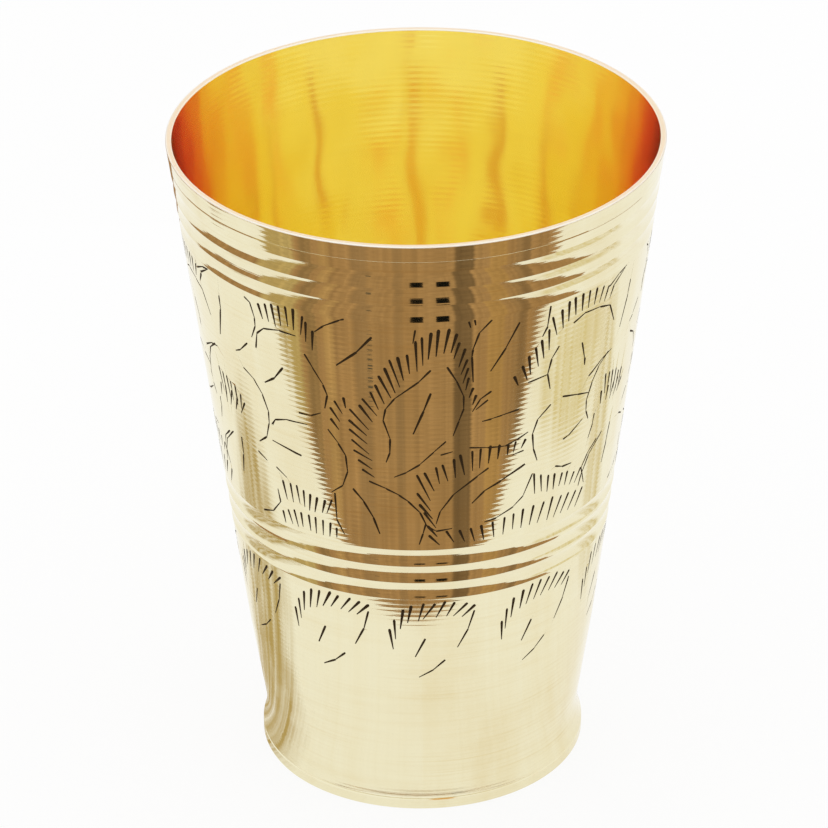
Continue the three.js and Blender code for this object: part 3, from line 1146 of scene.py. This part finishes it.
class TUMBLER_OT_stage(bpy.types.Operator):
    """Sets up the floor, the cards, the light and the camera"""

    bl_idname = "tumbler.stage"
    bl_label = "Studio"

    def execute(self, context):
        self.floor()
        self.table()
        self.cards()
        self.world()
        self.camera()
        context.scene.view_settings.view_transform = "Standard"
        context.scene.cycles.glossy_bounces = BOUNCES
        context.scene.cycles.max_bounces = BOUNCES
        return {"FINISHED"}

    def floor(self):
        """A white floor that cameras and reflections see as white, with the tumbler's shadow."""
        mesh = bpy.data.meshes.new("floor")
        mesh.from_pydata([(x * FLOOR_REACH, y * FLOOR_REACH, z) for x, y, z in SQUARE], [], ONE_FACE)
        piece = placed("floor", mesh)
        material, tree, shader = new_material("white floor")
        shader.inputs["Base Color"].default_value = FLOOR_COLOUR
        shader.inputs["Roughness"].default_value = 0.9
        white = node(tree, "ShaderNodeEmission", {"Color": (1, 1, 1, 1), "Strength": 1.0})
        path = node(tree, "ShaderNodeLightPath").outputs
        seen = maths(tree, "ADD", path["Is Camera Ray"], path["Is Glossy Ray"])
        seen = maths(tree, "ADD", seen, path["Is Transmission Ray"], clamp=True)
        blend(tree, maths(tree, "MULTIPLY", seen, FLOOR_WHITE), shader, white)
        mesh.materials.append(material)

    def cards(self):
        """What the metal reflects besides the white floor and the table."""
        for make, cards in ((flat_card, FLAT_CARDS), (soft_card, SOFT_CARDS),
                            (upright_card, FAR_POSTS), (curved_card, WARM_SIDES)):
            for card in cards:
                make(*card)

    def table(self):
        """A brown table that starts where the white sheet ends, lighter and darker in strips."""
        brown = bpy.context.scene.tumbler_stage.table_colour
        sheet = [(x * MM, y * MM) for x, y in SHEET]
        places = [(x, y, TABLE_HEIGHT) for x, y in sheet]
        for x, y in sheet:
            away = TABLE_REACH / math.hypot(x, y)
            places.append((x * away, y * away, TABLE_HEIGHT))
        count = len(sheet)
        faces = [(count + i, count + (i + 1) % count, (i + 1) % count, i) for i in range(count)]
        _, tree = hidden_card("table", places, faces)
        lines = streaky(tree, 17.0, 1.0)
        colour = (*brown, 1)
        fade_start, fade_end = STRIP_FADE
        for turn, half, tint in STRIPS:
            off = maths(tree, "SUBTRACT", lines["Bearing"], math.radians(turn))
            inside = node(tree, "ShaderNodeMapRange", {
                "Value": maths(tree, "ABSOLUTE", off),
                "From Min": math.radians(half * fade_end), "From Max": math.radians(half * fade_start),
            }, interpolation_type="SMOOTHSTEP")
            tinted = [part * share for part, share in zip(brown, tint)]
            strip = node(tree, "ShaderNodeMix", {
                "Factor": inside.outputs["Result"], 6: colour, 7: (*tinted, 1)}, data_type="RGBA")
            colour = strip.outputs[2]
        tone = maths(tree, "MULTIPLY_ADD", lines["Share"], 0.42, 0.79)
        grain = maths(tree, "MULTIPLY_ADD", noise(tree, 55.0, 6.0), 0.7, 0.65)
        tone = maths(tree, "MULTIPLY", tone, grain)
        show(tree, node(tree, "ShaderNodeEmission", {"Color": colour, "Strength": tone}))

    def world(self):
        """Plain white light from all round."""
        world = bpy.data.worlds.new("studio")
        world.use_nodes = True
        world.node_tree.nodes["Background"].inputs["Color"].default_value = (1, 1, 1, 1)
        world.node_tree.nodes["Background"].inputs["Strength"].default_value = 1.0
        bpy.context.scene.world = world

    def camera(self):
        """The photograph's viewing angle."""
        stage = bpy.context.scene.tumbler_stage
        lens = bpy.data.cameras.new("camera")
        lens.lens = stage.lens
        lens.sensor_width = SENSOR_WIDTH
        lens.shift_x, lens.shift_y = LENS_SHIFT
        lens.clip_start = NEAREST_SEEN
        camera = placed("camera", lens)
        middle = wall_high.z / 2
        back = Matrix.Translation((0, 0, stage.distance))
        tilt = Matrix.Rotation(math.pi / 2 - stage.elevation, 4, "X")
        camera.matrix_world = Matrix.Translation((0, 0, middle)) @ tilt @ back @ Matrix.Rotation(
            stage.roll, 4, "Z")
        bpy.context.scene.camera = camera


class TUMBLER_PT_panel(bpy.types.Panel):
    """Lists the steps that make the tumbler"""

    bl_idname = "TUMBLER_PT_panel"
    bl_label = "Tumbler"
    bl_space_type = "VIEW_3D"
    bl_region_type = "UI"
    bl_category = "Tumbler"

    def draw(self, context):
        for operator in OPERATORS:
            self.layout.operator(operator.bl_idname)
        for name in SETTINGS:
            box = self.layout.box()
            group = getattr(context.scene, name)
            for field in group.__annotations__:
                box.prop(group, field)


SETTINGS = {
    "tumbler_sizes": TumblerSizes,
    "tumbler_rings": RingSizes,
    "tumbler_engraving": EngravingSizes,
    "tumbler_colours": BrassColours,
    "tumbler_stage": StageSizes,
}
OPERATORS = (TUMBLER_OT_wall, TUMBLER_OT_foot, TUMBLER_OT_disc, TUMBLER_OT_fillets, TUMBLER_OT_stage)


def register():
    for name, group in SETTINGS.items():
        bpy.utils.register_class(group)
        setattr(bpy.types.Scene, name, PointerProperty(type=group))
    for operator in OPERATORS:
        bpy.utils.register_class(operator)
    bpy.utils.register_class(TUMBLER_PT_panel)


def unregister():
    bpy.utils.unregister_class(TUMBLER_PT_panel)
    for operator in reversed(OPERATORS):
        bpy.utils.unregister_class(operator)
    for name, group in SETTINGS.items():
        delattr(bpy.types.Scene, name)
        bpy.utils.unregister_class(group)


def main():
    register()
    bpy.ops.tumbler.wall()
    bpy.ops.tumbler.foot()
    bpy.ops.tumbler.disc()
    bpy.ops.tumbler.fillets()
    bpy.ops.tumbler.stage()


if __name__ == "__main__":
    main()
